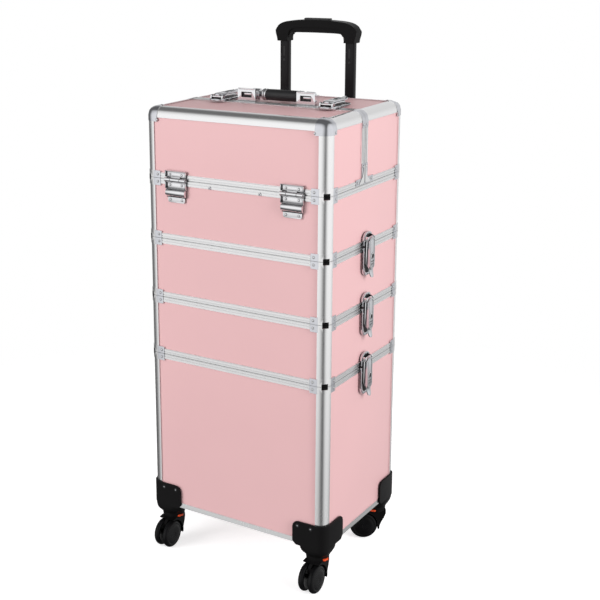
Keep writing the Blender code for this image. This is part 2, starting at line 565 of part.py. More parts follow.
def caster(tag, sx, sy, trail_deg):
    fy = FRONT if sy < 0 else BACK
    ax, ay = sx * CASTER_X, MID_Y + sy * CASTER_Y
    ex, ey = sx * (HALF_W + GAP), fy + sy * GAP
    z0, z1 = BASE_Z - GAP - 1.8, BASE_Z + LEG_H
    ox, oy = ex + sx * BRK_T, ey + sy * BRK_T
    fx, ly = ex - sx * LEG_X, ey - sy * LEG_Y

    def corner(u):
        return u[2] == 0 and u[0] == sx and u[1] == sy
    # cup round the body corner: outer block with the body hollowed out
    cup = box((min(ox, fx), min(oy, ly), z0), (max(ox, fx), max(oy, ly), z1), EDGE_R + BRK_T, corner)
    cut(cup, box((min(ex, ex - sx * 90), min(ey, ey - sy * 140), BASE_Z - GAP),
                 (max(ex, ex - sx * 90), max(ey, ey - sy * 140), z1 + 9), EDGE_R + GAP, corner))
    # round the free upper corner of each leg
    for free, s, axis, face in ((fx, sx, 1, ey), (ly, sy, 0, ex)):
        c = free + s * LEG_R
        arc = [(c - s * LEG_R * cos(radians(t)), z1 - LEG_R + LEG_R * sin(radians(t)))
               for t in (0, 30, 60, 90)]
        cut(cup, prism(arc + [(c, z1 + 5), (free - s * 5, z1 + 5), (free - s * 5, z1 - LEG_R)],
                       axis, face - 9, face + 9))
    # chamfer the free lower corner of each leg, then add the caster housing under the corner
    for free, sn, axis, face in ((fx, sx, 1, ey), (ly, sy, 0, ex)):
        cut(cup, prism([(free - sn * 5, z0 + 6.5), (free, z0 + 6.5), (free + sn * 5, z0 + 1.2),
                        (free + sn * 9, z0 - 2), (free - sn * 5, z0 - 2)], axis, face - 9, face + 9))
    steps = ((z0 + 1.0, 0.0), (z0 - 4.0, 0.0), (z0 - 9.0, 0.12), (z0 - 13.0, 0.45),
             (HOUSING_LOW + 2.0, 0.8), (HOUSING_LOW, 1.0))
    add(cup, loft([skirt_ring(z, k, ax, ay, 25.6, 25.6, ax, ay, 20.6) for z, k in steps]))
    cut(cup, cylinder((ax, ay, HOUSING_LOW + 4), (0, 0, 1), 5.6, 16, 16))
    part(cup, "corner_bracket_" + tag, "black")
    turn = radians(trail_deg)
    d = Vector((sin(turn), -cos(turn), 0))
    e = Vector((cos(turn), sin(turn), 0))
    wx, wy = ax + d.x * TRAIL, ay + d.y * TRAIL
    spin = Matrix.Translation(Vector((ax, ay, 0)) * MM) @ Matrix.Rotation(turn, 4, "Z")
    # fork in its own frame: trail along -y, axle along x
    zc = WHEEL_R
    collar = cylinder((0, 0, (HOUSING_LOW - GAP + COLLAR_LOW) / 2), (0, 0, 1), 18.6,
                      HOUSING_LOW - GAP - COLLAR_LOW, 24, r2=20.0)
    stem = cylinder((0, 0, HOUSING_LOW + 3), (0, 0, 1), 5.0, 14, 16)
    web = prism([(-TRAIL - 3.0, zc - 5.5), (-TRAIL + 3.5, zc - 5.5), (-TRAIL + 9.0, zc + 2),
                 (12.0, COLLAR_LOW - 6), (13.0, COLLAR_LOW + 2), (-17.0, COLLAR_LOW + 2),
                 (-TRAIL - 8.0, zc + 20), (-TRAIL - 7.0, zc + 2)], 0, -2.9, 2.9)
    # hood over the leading side of the wheels, blended up into the collar, with a narrower nose
    arc_i = fan(-TRAIL, zc, WHEEL_R + 0.9, -14, 94, 10)
    arc_o = fan(-TRAIL, zc, WHEEL_R + 3.0, -14, 8, 3)
    hood = prism(arc_i[::-1] + arc_o + [(11.0, zc + 14), (13.0, COLLAR_LOW - 6), (13.0, COLLAR_LOW + 1),
                                        (-15.0, COLLAR_LOW + 1), (-23.0, zc + WHEEL_R + 3.0)],
                 0, -WHEEL_HALF, WHEEL_HALF)
    nose = prism([(6.5, zc - 3), (8.0, zc - 4), (11.0, zc + 4), (16.0, zc + 13), (19.2, COLLAR_LOW - 6),
                  (19.2, COLLAR_LOW + 1), (-4.0, COLLAR_LOW + 1), (0.5, zc + 18.5), (5.8, zc + 8)],
                 0, -9.5, 9.5)
    add(collar, stem, web, hood, nose)
    cut(collar, cylinder((0, -TRAIL, zc), (1, 0, 0), 3.0 + GAP, 12, 16))
    for obj in [m.object for m in collar.modifiers] + [collar]:
        placed(obj, spin)
    part(collar, "caster_fork_" + tag, "black")
    pivot(collar, ax, ay, HOUSING_LOW)
    wheels = []
    for su in (-1, 1):
        mid = su * (WHEEL_HALF - WHEEL_W / 2)
        prof = [(WHEEL_R - 3.2, -0.5), (WHEEL_R - 0.7, -0.36), (WHEEL_R, -0.14), (WHEEL_R, 0.14),
                (WHEEL_R - 0.7, 0.36), (WHEEL_R - 3.2, 0.5)]
        bm = bmesh.new()
        rings = []
        n = 28
        for rr, t in prof:
            rings.append([bm.verts.new(Vector((mid + t * WHEEL_W, -TRAIL + rr * cos(2 * pi * i / n),
                                               zc + rr * sin(2 * pi * i / n))) * MM) for i in range(n)])
        for a, b in zip(rings[:-1], rings[1:]):
            for i in range(n):
                bm.faces.new((a[i], a[(i + 1) % n], b[(i + 1) % n], b[i]))
        bm.faces.new(rings[0])
        bm.faces.new(rings[-1])
        wheels.append(from_bmesh(bm, "tool", TOOLS))
    axle = cylinder((0, -TRAIL, zc), (1, 0, 0), 3.0, 2 * WHEEL_HALF - 2, 16)
    add(axle, *wheels)
    for obj in wheels + [axle]:
        placed(obj, spin)
    part(axle, "caster_wheels_" + tag, "rubber")
    pivot(axle, wx, wy, zc)


caster("front_left", -1, -1, 0)
caster("front_right", 1, -1, 0)
caster("rear_left", -1, 1, 0)
caster("rear_right", 1, 1, -55)


# ---- cantilever trays --------------------------------------------------------------------
TRAY_X = 149.0
TRAYS = {
    "upper": dict(y0=HINGE_Y + 17.5, y1=SPLIT_Y - 3.0, z0=S1 - 45.5, z1=S1 - 9.5,
                  py=100.0, pz=-20.5, cells=3),
    "lower": dict(y0=HINGE_Y + 25.5, y1=SPLIT_Y - 3.0, z0=S1 - 87.0, z1=S1 - 51.0,
                  py=60.0, pz=-60.5, cells=5),
}
for tag, t in TRAYS.items():
    tray = box((-TRAY_X, t["y0"], t["z0"]), (TRAY_X, t["y1"], t["z1"]))
    n = t["cells"]
    step = (2 * TRAY_X - 2.0) / n
    for i in range(n):
        x0 = -TRAY_X + 2.0 + i * step
        cut(tray, box((x0, t["y0"] + 2, t["z0"] + 2), (x0 + step - 2.0, t["y1"] - 2, t["z1"] + 5)))
    for sx in (-1, 1):
        cut(tray, cylinder((sx * (TRAY_X - 1), HINGE_Y + t["py"], S1 + t["pz"]), (1, 0, 0), 3.3, 6, 16))
    part(tray, "tray_front_" + tag, "tray")
    pivot(tray, 0, HINGE_Y + t["py"], S1 + t["pz"])

for sx, tag in ((-1, "left"), (1, "right")):
    pu, pl = TRAYS["upper"], TRAYS["lower"]
    pts = [(HINGE_Y + a, S1 + b) for a, b in (
        (52, -66), (60, -69), (68, -64), (108, -24), (109, -14), (104, 36), (84, 36), (88, -16), (52, -54))]
    xa, xb = sorted((sx * 152.0, sx * 155.0))
    arm = prism(pts, 0, xa, xb)
    xc, xd = sorted((sx * 153.0, sx * (HALF_W - SKIN - GAP - PANEL_T - GAP)))
    add(arm, box((xc, HINGE_Y + 85, S1 + 12), (xd, HINGE_Y + 104, S1 + 34)))
    for t in (pu, pl):
        add(arm, cylinder((sx * 149.6, HINGE_Y + t["py"], S1 + t["pz"]), (1, 0, 0), 3.0, 6.2, 16))
    part(arm, "tray_arm_" + tag, "steel")
    pivot(arm, 0, HINGE_Y, S1)
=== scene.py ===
"""Looks of the makeup train case: materials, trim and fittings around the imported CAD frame."""
import json
from math import pi, sin, cos, radians, atan2

import bpy
import bmesh
from mathutils import Matrix, Vector


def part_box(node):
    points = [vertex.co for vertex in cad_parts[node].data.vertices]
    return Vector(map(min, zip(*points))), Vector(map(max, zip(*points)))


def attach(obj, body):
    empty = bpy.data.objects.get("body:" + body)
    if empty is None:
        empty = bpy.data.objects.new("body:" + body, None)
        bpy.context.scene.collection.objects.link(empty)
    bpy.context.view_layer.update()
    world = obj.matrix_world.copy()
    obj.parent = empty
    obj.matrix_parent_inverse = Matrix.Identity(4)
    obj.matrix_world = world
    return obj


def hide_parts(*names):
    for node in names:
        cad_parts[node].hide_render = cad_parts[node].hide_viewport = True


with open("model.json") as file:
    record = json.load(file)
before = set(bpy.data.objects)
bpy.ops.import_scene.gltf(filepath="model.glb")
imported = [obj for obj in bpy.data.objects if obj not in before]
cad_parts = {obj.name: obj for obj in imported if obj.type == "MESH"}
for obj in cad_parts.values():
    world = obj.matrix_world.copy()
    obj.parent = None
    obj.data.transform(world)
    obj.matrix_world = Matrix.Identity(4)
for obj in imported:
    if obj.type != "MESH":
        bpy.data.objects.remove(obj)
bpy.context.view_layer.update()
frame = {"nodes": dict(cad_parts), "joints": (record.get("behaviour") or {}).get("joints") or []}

NODES = frame["nodes"]
MM = 0.001

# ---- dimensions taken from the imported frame, in millimetres --------------------------------


def lo_hi(node):
    a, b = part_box(node)
    return Vector(a) / MM, Vector(b) / MM


HINGES = {j["name"]: Vector(j["pos_m"]) / MM for j in frame["joints"] if j["type"] == "hinge"}
PANEL_LO, PANEL_HI = lo_hi("bottom_case_panels")
SKIN = 1.7
HALF_W = PANEL_HI.x + SKIN
FRONT, BACK = PANEL_LO.y - SKIN, PANEL_HI.y + SKIN
MID_Y = (FRONT + BACK) / 2
GAP = 0.3
BASE_Z = lo_hi("bottom_case_frame")[0].z
S4 = lo_hi("lower_tier_frame")[0].z - GAP
S3 = lo_hi("upper_tier_frame")[0].z - GAP
S2 = lo_hi("top_case_frame")[0].z - GAP
S1 = lo_hi("lid_front_frame")[0].z - GAP
TOP = lo_hi("lid_front_panels")[1].z + SKIN
SPLIT_Y = MID_Y - 10.5
EDGE_R = 15.0
PLATE = 0.8

# ---- camera at the photograph's angle -------------------------------------------------------
scene = bpy.context.scene
cam_data = bpy.data.cameras.new("camera")
cam_data.sensor_width = 36.0
cam_data.lens = 72.744
cam_data.shift_x, cam_data.shift_y = 0.17706, -0.09456
cam_data.clip_end = 50.0
camera = bpy.data.objects.new("camera", cam_data)
scene.collection.objects.link(camera)
YAW, PITCH, ROLL = radians(34.580), radians(-14.343), radians(-0.909)
camera.matrix_world = (Matrix.Translation((1.01407, -1.71541, 1.05637)) @ Matrix.Rotation(YAW, 4, "Z")
                       @ Matrix.Rotation(pi / 2 + PITCH, 4, "X") @ Matrix.Rotation(ROLL, 4, "Z"))
scene.camera = camera
scene.view_settings.view_transform = "Standard"


# ---- node helpers ---------------------------------------------------------------------------
class Nodes:
    """Small wrapper that adds and links shader nodes."""

    def __init__(self, tree):
        self.tree = tree

    def add(self, kind, settings=None, **inputs):
        node = self.tree.nodes.new(kind)
        for key, value in (settings or {}).items():
            setattr(node, key, value)
        for key, value in inputs.items():
            self.put(node, key.replace("_", " "), value)
        return node

    def put(self, node, key, value):
        sock = node.inputs[int(key[1:])] if key[0] == "i" and key[1:].isdigit() else node.inputs[key]
        if isinstance(value, bpy.types.NodeSocket):
            self.tree.links.new(value, sock)
        else:
            sock.default_value = value

    def ramp(self, fac, stops, mode="LINEAR"):
        node = self.tree.nodes.new("ShaderNodeValToRGB")
        node.color_ramp.interpolation = mode
        el = node.color_ramp.elements
        while len(el) < len(stops):
            el.new(0.5)
        for e, (pos, col) in zip(el, stops):
            e.position = pos
            e.color = (*col, 1.0) if hasattr(col, "__len__") else (col, col, col, 1.0)
        self.tree.links.new(fac, node.inputs["Fac"])
        return node.outputs["Color"]

    def math(self, op, a, b=0.0, clamp=False):
        node = self.tree.nodes.new("ShaderNodeMath")
        node.operation = op
        node.use_clamp = clamp
        self.put(node, "i0", a)
        self.put(node, "i1", b)
        return node.outputs[0]

    def noise(self, vector, scale, detail=3.0, rough=0.5):
        node = self.tree.nodes.new("ShaderNodeTexNoise")
        self.put(node, "Vector", vector)
        self.put(node, "Scale", scale)
        self.put(node, "Detail", detail)
        self.put(node, "Roughness", rough)
        return node.outputs["Fac"]


def material(name, base, metallic=0.0, rough=0.4, spread=0.06, blotch=0.03, blotch_scale=9.0,
             stretch=(1, 1, 1),
             grain=2200.0, bump=0.04, bump_mm=0.03, coat=0.0, coat_rough=0.2, sheen=0.0, spec=0.5,
             detail=4.0,
             painted_shade_mm=0.0):
    """Principled material from object-space noise; painted shade: crevices are darkened in the base colour by
    ambient occlusion within the given distance in mm.
    """
    mat = bpy.data.materials.new(name)
    mat.use_nodes = True
    n = Nodes(mat.node_tree)
    bsdf = mat.node_tree.nodes["Principled BSDF"]
    bsdf.inputs["Metallic"].default_value = metallic
    bsdf.inputs["Coat Weight"].default_value = coat
    bsdf.inputs["Coat Roughness"].default_value = coat_rough
    bsdf.inputs["Sheen Weight"].default_value = sheen
    bsdf.inputs["Specular IOR Level"].default_value = spec
    coord = n.add("ShaderNodeTexCoord").outputs["Object"]
    where = n.add("ShaderNodeMapping", Vector=coord, Scale=stretch).outputs["Vector"]
    wide = n.noise(coord, blotch_scale, 3.0)
    lo = tuple(max(0.0, c * (1 - blotch)) for c in base)
    hi = tuple(min(1.0, c * (1 + blotch)) for c in base)
    colour = n.ramp(wide, [(0.35, lo), (0.65, hi)])
    # painted shade: the base colour is multiplied by ambient occlusion, so crevices come out darker
    if painted_shade_mm:
        painted_shade = n.add("ShaderNodeAmbientOcclusion", {"samples": 6}, Distance=painted_shade_mm * MM).outputs["AO"]
        mix = n.add("ShaderNodeMix", {"data_type": "RGBA", "blend_type": "MULTIPLY"}, i0=1.0)
        mat.node_tree.links.new(colour, mix.inputs[6])
        mat.node_tree.links.new(n.math("POWER", painted_shade, 1.4), mix.inputs[7])
        colour = mix.outputs[2]
    n.put(bsdf, "Base Color", colour)
    fine = n.noise(where, grain, detail, 0.6)
    both = n.math("ADD", n.math("MULTIPLY", fine, 0.5), n.math("MULTIPLY", wide, 0.5))
    n.put(bsdf, "Roughness", n.ramp(both, [(0.35, max(0.02, rough - spread)),
                                           (0.65, min(1.0, rough + spread))]))
    relief = n.add("ShaderNodeBump", Strength=min(1.0, bump * 10), Distance=bump_mm * MM, Height=fine)
    n.put(bsdf, "Normal", relief.outputs["Normal"])
    return mat


PINK = material("pink_laminate", (0.765, 0.468, 0.478), rough=0.44, spread=0.05, blotch=0.012,
                blotch_scale=5,
                grain=900, bump=0.05, bump_mm=0.04, spec=0.5)
LINING = material("black_lining", (0.012, 0.012, 0.013), rough=0.9, spread=0.05, blotch=0.2,
                  blotch_scale=30,
                  grain=1400, bump=0.1, bump_mm=0.2, sheen=0.3)
ALU = material("satin_aluminium", (0.93, 0.93, 0.935), 1.0, 0.25, spread=0.03, blotch=0.01,
               stretch=(1, 1, 0.04),
               grain=1500, bump=0.012, bump_mm=0.008)
# rim aluminium, chrome, cap chrome and zinc plate carry painted shade: ambient occlusion darkens their base
# colour in crevices, within the given millimetres
RIM_ALU = material("rim_aluminium", (0.90, 0.90, 0.905), 1.0, 0.29, spread=0.03, blotch=0.01,
                   stretch=(0.04, 0.04, 1), grain=1500, bump=0.012, bump_mm=0.008, painted_shade_mm=1.2)
CHROME = material("chrome_plate", (0.86, 0.86, 0.88), 1.0, 0.10, spread=0.03, blotch=0.02, grain=160,
                  bump=0.02,
                  bump_mm=0.02, painted_shade_mm=4.0)
CAP = material("cap_chrome", (0.68, 0.69, 0.73), 1.0, 0.12, spread=0.03, blotch=0.02, grain=200, bump=0.02,
               bump_mm=0.02, painted_shade_mm=2.0)
PLATED = material("zinc_plate", (0.70, 0.71, 0.74), 1.0, 0.17, spread=0.04, blotch=0.03, grain=300,
                  bump=0.02,
                  bump_mm=0.02, painted_shade_mm=3.0)
BLACK = material("black_plastic", (0.0055, 0.0052, 0.0055), rough=0.44, spread=0.08, blotch=0.15,
                 grain=2400, bump=0.06,
                 bump_mm=0.03, spec=0.09)
TUBE = material("black_tube", (0.006, 0.0056, 0.0066), rough=0.34, spread=0.06, blotch=0.15,
                stretch=(1, 1, 0.03),
                grain=1800, bump=0.03, bump_mm=0.02, spec=0.20)
WHEEL = material("wheel_rubber", (0.0045, 0.0045, 0.005), rough=0.26, spread=0.08, blotch=0.3,
                 blotch_scale=40,
                 grain=900, bump=0.03, bump_mm=0.03, spec=0.15)
GRIP = material("grip_rubber", (0.013, 0.013, 0.014), rough=0.42, spread=0.08, blotch=0.2, grain=2600,
                bump=0.06,
                bump_mm=0.03)
ORANGE = material("orange_tab", (0.80, 0.075, 0.012), rough=0.42, spread=0.05, blotch=0.05, grain=1500,
                  bump=0.04,
                  bump_mm=0.03)
# dark material: painted shade where it fills recesses, slots and gaps in the fittings; on the bracket screws
# it is the heads' own dark colour
DARK = material("painted_recess_shade_and_dark_screw", (0.008, 0.008, 0.009), rough=0.5, spread=0.08, blotch=0.2, grain=1500,
                bump=0.03,
                bump_mm=0.03)
TRAY = material("tray_flock", (0.015, 0.015, 0.017), rough=0.75, spread=0.08, blotch=0.15, blotch_scale=40,
                grain=2000, bump=0.1, bump_mm=0.1, sheen=0.25)

# ---- the CAD nodes' own surfaces ------------------------------------------------------------


def dress(node, *mats, choose=None, angle=32.0, bevel=0.0):
    """Give a CAD node its materials; choose(centre, normal) picks one per face."""
    obj = NODES[node]
    mesh = obj.data
    mesh.materials.clear()
    for m in mats:
        mesh.materials.append(m)
    for name in ("custom_normal",):
        if name in mesh.attributes:
            mesh.attributes.remove(mesh.attributes[name])
    for p in mesh.polygons:
        p.use_smooth = True
        p.material_index = choose(p.center / MM, p.normal) if choose else 0
    weld = obj.modifiers.new("weld", "WELD")
    weld.merge_threshold = 0.00001
    if bevel:
        b = obj.modifiers.new("bevel", "BEVEL")
        b.width = bevel * MM
        b.segments = 2
        b.limit_method = "ANGLE"
        b.angle_limit = radians(angle)
        b.harden_normals = False
    split = obj.modifiers.new("split", "EDGE_SPLIT")
    split.split_angle = radians(angle)
    return obj


def panel_side(c, n):
    """0 on the outer skin, 1 on the lined inside."""
    out = (abs(c.x) > HALF_W - 3 and abs(n.x) > 0.5, c.y < FRONT + 3 and n.y < -0.5,
           c.y > BACK - 3 and n.y > 0.5,
           c.z > TOP - 3 and n.z > 0.5, c.z < BASE_Z + 3 and n.z < -0.5)
    round_edge = max(abs(n.x), abs(n.y), abs(n.z)) < 0.97 and (abs(c.x) > HALF_W - 6)
    return 0 if any(out) or round_edge else 1


def frame_side(c, n):
    """1 on the raised corner plates, 0 on the plain profile, told by distance from the rounded outline."""
    if c.z < TOP - 34:
        return 1 if abs(c.x) > HALF_W + 0.25 or c.y < FRONT - 0.25 or c.y > BACK + 0.25 else 0
    q = (abs(c.x) - HALF_W + EDGE_R, abs(c.y - MID_Y) - (BACK - FRONT) / 2 + EDGE_R, c.z - TOP + EDGE_R)
    past = [max(v, 0.0) for v in q]
    proud = sum(v * v for v in past) ** 0.5 - EDGE_R
    return 1 if proud > (-0.6 if min(past) > 0.5 else 0.15) else 0


for tag in ("bottom_case", "lower_tier", "upper_tier", "top_case", "lid_front", "lid_rear"):
    dress(tag + "_panels", PINK, LINING, choose=panel_side)
    dress(tag + "_frame", ALU, CAP, choose=frame_side)
for name in NODES:
    if name.startswith(("front_hinge", "latch_", "carry_handle_buckle")):
        dress(name, CHROME, angle=30)
    elif name.startswith("trolley_inner") or name.startswith("trolley_outer"):
        dress(name, TUBE)
    elif name.startswith(("trolley_mount", "trolley_grip", "corner_bracket", "caster_fork", "tray_arm",
                          "carry_handle_grip")):
        dress(name, BLACK, angle=38)
    elif name.startswith("caster_wheels"):
        dress(name, WHEEL, angle=50)
    elif name == "trolley_release_button":
        dress(name, GRIP)
    elif name.startswith("tray_front"):
        dress(name, TRAY)

# ---- geometry helpers: shapes are drawn in millimetres and joined into one piece per body ----


def local(origin, u, v, w):
    """Matrix from a local frame (u, v, w) in millimetres to the row frame."""
    m = Matrix((u, v, w)).transposed().to_4x4()
    return Matrix.Translation(Vector(origin)) @ m


def arc(cx, cy, r, a0, a1, n):
    return [(cx + r * cos(radians(a0 + (a1 - a0) * i / n)), cy + r * sin(radians(a0 + (a1 - a0) * i / n)))
            for i in range(n + 1)]


def rounded(x0, x1, y0, y1, r, n=5):
    """Rounded rectangle outline."""
    return (arc(x1 - r, y1 - r, r, 0, 90, n) + arc(x0 + r, y1 - r, r, 90, 180, n)
            + arc(x0 + r, y0 + r, r, 180, 270, n) + arc(x1 - r, y0 + r, r, 270, 360, n))


def shield(y0, y1, half, r_top, r_low, n=7):
    """Plate outline with separately rounded upper and lower ends."""
    return (arc(half - r_top, y1 - r_top, r_top, 0, 90, n) + arc(-half + r_top, y1 - r_top, r_top, 90, 180,
                                                                 n)
            + arc(-half + r_low, y0 + r_low, r_low, 180, 270, n) + arc(half - r_low, y0 + r_low, r_low, 270,
                                                                       360, n))


def spline(points, n=6):
    """Closed Catmull-Rom curve through 2-D points."""
    out = []
    k = len(points)
    for i in range(k):
        p0, p1, p2, p3 = (Vector(points[(i + j - 1) % k]) for j in range(4))
        for s in range(n):
            t = s / n
            q = 0.5 * (2 * p1 + (p2 - p0) * t + (2 * p0 - 5 * p1 + 4 * p2 - p3) * t * t
                       + (3 * p1 - p0 - 3 * p2 + p3) * t ** 3)
            out.append((q.x, q.y))
    return out


class Shape:
    """Gathers closed shapes, then becomes one piece riding on a body."""

    def __init__(self, name, body, *mats, place=None):
        self.name, self.body, self.mats = name, body, mats
        self.bm = bmesh.new()
        self.place = place or Matrix.Identity(4)
        self.verts, self.faces, self.index = [], [], []

    def _done(self, extra, mi):
        """Place the shape just drawn, keep it with its material, and clear the drawing."""
        m = self.place @ (extra or Matrix.Identity(4))
        bmesh.ops.recalc_face_normals(self.bm, faces=self.bm.faces)
        flip = m.to_3x3().determinant() < 0
        start = len(self.verts)
        self.bm.verts.index_update()
        self.verts += [(m @ v.co) * MM for v in self.bm.verts]
        for f in self.bm.faces:
            loop = [start + v.index for v in f.verts]
            self.faces.append(loop[::-1] if flip else loop)
            self.index.append(mi)
        self.bm.clear()

    def _bevel(self, edges, r, seg):
        if r > 0:
            bmesh.ops.bevel(self.bm, geom=list(edges), offset=r, segments=seg, profile=0.5, affect="EDGES",
                            clamp_overlap=True)

    def box(self, lo, hi, r=0.3, seg=2, mi=0, m=None):
        made = bmesh.ops.create_cube(self.bm, size=1.0)["verts"]
        for v in made:
            v.co = Vector([v.co[i] * (hi[i] - lo[i]) + (hi[i] + lo[i]) / 2 for i in range(3)])
        self._bevel({e for v in made for e in v.link_edges}, r, seg)
        self._done(m, mi)

    def prism(self, outline, a, b, r=0.3, seg=2, mi=0, m=None, axis=2):
        """Outline extruded along local axis: 2 for (u, v) outlines, 0 for (v, w), 1 for (u, w)."""
        def at(p, t):
            return (p[0], p[1], t) if axis == 2 else ((t, p[0], p[1]) if axis == 0 else (p[0], t, p[1]))
        low = [self.bm.verts.new(at(p, a)) for p in outline]
        high = [self.bm.verts.new(at(p, b)) for p in outline]
        n = len(outline)
        caps = [self.bm.faces.new(low), self.bm.faces.new(high[::-1])]
        for i in range(n):
            self.bm.faces.new((low[i], high[i], high[(i + 1) % n], low[(i + 1) % n]))
        self._bevel({e for f in caps for e in f.edges}, r, seg)
        self._done(m, mi)

    def ring(self, outer, inner, a, b, r=0.3, seg=2, mi=0, m=None):
        """Flat band between two outlines of equal count, from height a to b."""
        n = len(outer)
        rows = [[self.bm.verts.new((p[0], p[1], t)) for p in line] for line, t in
                ((outer, a), (outer, b), (inner, b), (inner, a))]
        for j in range(4):
            one, two = rows[j], rows[(j + 1) % 4]
            for i in range(n):
                self.bm.faces.new((one[i], one[(i + 1) % n], two[(i + 1) % n], two[i]))
        top = {e for row in (rows[1], rows[2]) for v in row for e in v.link_edges
               if e.verts[0] in row and e.verts[1] in row}
        self._bevel(top, r, seg)
        self._done(m, mi)

    def lathe(self, profile, centre, axis, seg=24, mi=0, m=None):
        """Revolve (radius, along) pairs about an axis through centre. Ends at radius 0 close themselves."""
        turn = Vector((0, 0, 1)).rotation_difference(Vector(axis).normalized()).to_matrix().to_4x4()
        place = Matrix.Translation(Vector(centre)) @ turn
        rows = []
        for rad, along in profile:
            if rad <= 1e-6:
                rows.append([self.bm.verts.new(place @ Vector((0, 0, along)))])
            else:
                rows.append([self.bm.verts.new(place @ Vector((rad * cos(2 * pi * i / seg),
                                                               rad * sin(2 * pi * i / seg),
                                                               along))) for i in range(seg)])
        for one, two in zip(rows[:-1], rows[1:]):
            for i in range(seg):
                j = (i + 1) % seg
                if len(one) == 1 and len(two) > 1:
                    self.bm.faces.new((one[0], two[j], two[i]))
                elif len(two) == 1 and len(one) > 1:
                    self.bm.faces.new((one[i], one[j], two[0]))
                elif len(one) > 1:
                    self.bm.faces.new((one[i], one[j], two[j], two[i]))
        for row in (rows[0], rows[-1]):
            if len(row) > 1:
                self.bm.faces.new(row)
        self._done(m, mi)

    def loft(self, rings, mi=0, m=None, closed=False):
        rows = [[self.bm.verts.new(p) for p in ring] for ring in rings]
        n = len(rows[0])
        pairs = list(zip(rows[:-1], rows[1:])) + ([(rows[-1], rows[0])] if closed else [])
        for one, two in pairs:
            for i in range(n):
                self.bm.faces.new((one[i], one[(i + 1) % n], two[(i + 1) % n], two[i]))
        if not closed:
            self.bm.faces.new(rows[0])
            self.bm.faces.new(rows[-1])
        self._done(m, mi)

    def tube(self, path, r, seg=10, mi=0, m=None):
        """Round bar along a path of 3-D points."""
        pts = [Vector(p) for p in path]
        rings = []
        up = Vector((0.0123, 0.0456, 1.0)).normalized()
        for i, p in enumerate(pts):
            d = (pts[min(i + 1, len(pts) - 1)] - pts[max(i - 1, 0)]).normalized()
            a = d.cross(up if abs(d.dot(up)) < 0.95 else Vector((1, 0, 0))).normalized()
            b = d.cross(a)
            if rings and a.dot(last) < 0:
                a, b = -a, -b
            last = a
            rings.append([p + (a * cos(2 * pi * k / seg) + b * sin(2 * pi * k / seg)) * r for k in range(seg)])
        self.loft(rings, mi, m)

    def rivet(self, at, normal, r=1.9, h=1.1, mi=0, seg=14):
        """Domed rivet head on a thin shoulder."""
        prof = [(r * 1.0, -0.3), (r, 0.12 * h)] + [(r * cos(radians(t)),
                                                    h * (0.12 + 0.88 * sin(radians(t))))
                                                     for t in (22, 45, 68)] + [(0, h)]
        self.lathe(prof, at, normal, seg, mi)

    def screw(self, at, normal, r=2.6, h=1.4, mi=0, mi_slot=0):
        """Pan head with a cross recess shown as painted shade: two shallow dark bars."""
        prof = [(r, -0.3), (r, 0.35 * h), (r * 0.86, 0.8 * h), (r * 0.5, h), (0, h)]
        self.lathe(prof, at, normal, 18, mi)
        turn = Vector((0, 0, 1)).rotation_difference(Vector(normal).normalized()).to_matrix().to_4x4()
        spot = Matrix.Translation(Vector(at)) @ turn @ Matrix.Rotation(radians(28), 4, "Z")
        for s in ((r * 0.52, 0.28), (0.28, r * 0.52)):
            # dark bars: painted shade of the cross recess
            self.box((-s[0], -s[1], h - 0.4), (s[0], s[1], h + 0.05), 0.0, 1, mi_slot, spot)

    def piece(self, slot, angle=34.0, replaces=()):
        self.bm.free()
        mesh = bpy.data.meshes.new(self.name)
        mesh.from_pydata(self.verts, [], self.faces)
        for mat in self.mats:
            mesh.materials.append(mat)
        mesh.polygons.foreach_set("material_index", self.index)
        mesh.shade_smooth()
        mesh.set_sharp_from_angle(angle=radians(angle))
        obj = bpy.data.objects.new(self.name, mesh)
        scene.collection.objects.link(obj)
        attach(obj, self.body)
        if replaces:
            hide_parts(*replaces)
        return obj


X, Y, Z = Vector((1, 0, 0)), Vector((0, 1, 0)), Vector((0, 0, 1))
ORDER = ["bottom_case", "lower_tier", "upper_tier", "top_case"]
SEAMS = {"bottom_case": (None, S4), "lower_tier": (S4, S3), "upper_tier": (S3, S2), "top_case": (S2, S1)}

# ---- seam rims: raised beads, corner rivets and black blocks in the corner notches --------------
FACES = {  # side of the case: local frame with u along the side, v up, w out
    "front": (local((0, FRONT, 0), X, Z, -Y), HALF_W), "back": (local((0, BACK, 0), -X, Z, Y), HALF_W),
    "left": (local((-HALF_W, MID_Y, 0), -Y, Z, -X), (BACK - FRONT) / 2),
    "right": (local((HALF_W, MID_Y, 0), Y, Z, X), (BACK - FRONT) / 2)}


def bead_rows(shape, place, a, b, seam, up):
    """Two raised beads along a rim from u = a to b; up is +1 above the seam, -1 below it."""
    for v0, v1, high in ((0.9, 3.7, 0.45), (4.9, 8.3, 0.6)):
        z0, z1 = sorted((seam + up * v0, seam + up * v1))
        prof = [(z0, 0.0), (z0 + 0.35, high), (z1 - 0.35, high), (z1, 0.0)]
        shape.prism(prof, a, b, 0.0, 1, 0, place, axis=0)


def notch_block(shape, sx, sy, z0, z1):
    """Black corner block that fills the dark notch between two boxes."""
    cx, cy = sx * (HALF_W - EDGE_R), (FRONT + EDGE_R if sy < 0 else BACK - EDGE_R)
    mid = atan2(sy, sx)
    ring = []
    for rad, half in ((EDGE_R - 5.0, 26), (EDGE_R + 0.1, 19), (EDGE_R + 0.9, 13)):
        ring.append([(cx + rad * cos(mid + radians(t)), cy + rad * sin(mid + radians(t)))
                     for t in (-half, -half / 2, 0, half / 2, half)])
    outline = ring[0] + ring[1][::-1][:1] + ring[2][::-1] + ring[1][:1]
    shape.prism(outline, z0, z1, 0.35, 2)


